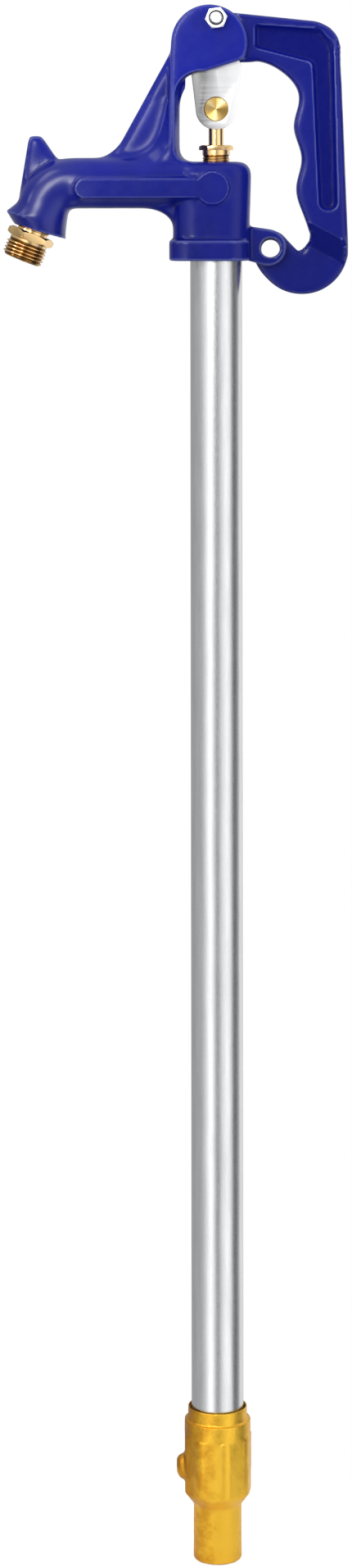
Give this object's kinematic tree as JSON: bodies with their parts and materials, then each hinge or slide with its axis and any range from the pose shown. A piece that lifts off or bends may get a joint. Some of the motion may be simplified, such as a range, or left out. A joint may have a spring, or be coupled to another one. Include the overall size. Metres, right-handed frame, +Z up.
{
  "type": "frost-free yard hydrant",
  "caption": "Frost-free yard hydrant: cast head with spout and pail hook, lift handle with a toggle link, steel riser pipe and a brass foot valve that drains the pipe when shut",
  "frame": {"origin": "centre of the inlet's mouth, at the bottom of the foot valve, on the axis of the riser pipe", "axes": "+Z up along the pipe; the spout points to -X, the handle hangs on +X, and -Y is the side with the fulcrum's nut"},
  "size_m": [0.2229, 0.046, 0.9973],
  "materials": {
    "blue_enamel": "gloss blue enamel",
    "handle_enamel": "gloss blue enamel",
    "polished_brass": "polished",
    "turned_brass": "turned",
    "stem_brass": "drawn bar",
    "cast_brass": "as cast",
    "galvanised_steel": "galvanised",
    "brushed_plate": "brushed",
    "bright_zinc": "bright zinc plate",
    "black_steel": "black oxide",
    "graphite_packing": "matt",
    "black_rubber": "matt"
  },
  "bodies": {
    "head": {"head_casting": "blue_enamel", "hose_nozzle": "polished_brass", "packing_nut": "turned_brass", "packing_washer": "turned_brass", "packing_rings": "graphite_packing", "fulcrum_bolt": "bright_zinc", "fulcrum_nut": "bright_zinc", "riser_pipe": "galvanised_steel", "valve_body": "cast_brass"},
    "handle": {"handle": "handle_enamel"},
    "rod": {"rod_pivot": "turned_brass", "pivot_set_screw": "black_steel", "stem": "stem_brass", "rod_coupling": "bright_zinc", "coupling_lock_nuts": "bright_zinc", "operating_rod": "bright_zinc", "plunger": "turned_brass", "plunger_rings": "black_rubber", "seat_seal": "black_rubber", "seal_washer": "turned_brass", "seal_screw": "bright_zinc"},
    "link": {"link_plate_front": "brushed_plate", "link_plate_rear": "brushed_plate", "link_pin": "bright_zinc"}
  },
  "joints": [
    {"name": "handle_lift", "type": "hinge", "parent": "head", "child": "handle", "pos_m": [0, 0, 0.9882], "axis": [0, -1, 0], "range_deg": [0, 75]},
    {"name": "rod_lift", "type": "slide", "parent": "head", "child": "rod", "axis": [0, 0, 1], "range_m": [0, 0.0202]},
    {"name": "link_swing", "type": "hinge", "parent": "rod", "child": "link", "pos_m": [0, 0, 0.9303], "axis": [0, 1, 0], "range_deg": [0, 30.7]}
  ],
  "couplings": [
    {"joint": "rod_lift", "follows": "handle_lift", "m_per_rad": 0.015368},
    {"joint": "link_swing", "follows": "handle_lift", "ratio": 0.40861}
  ]
}
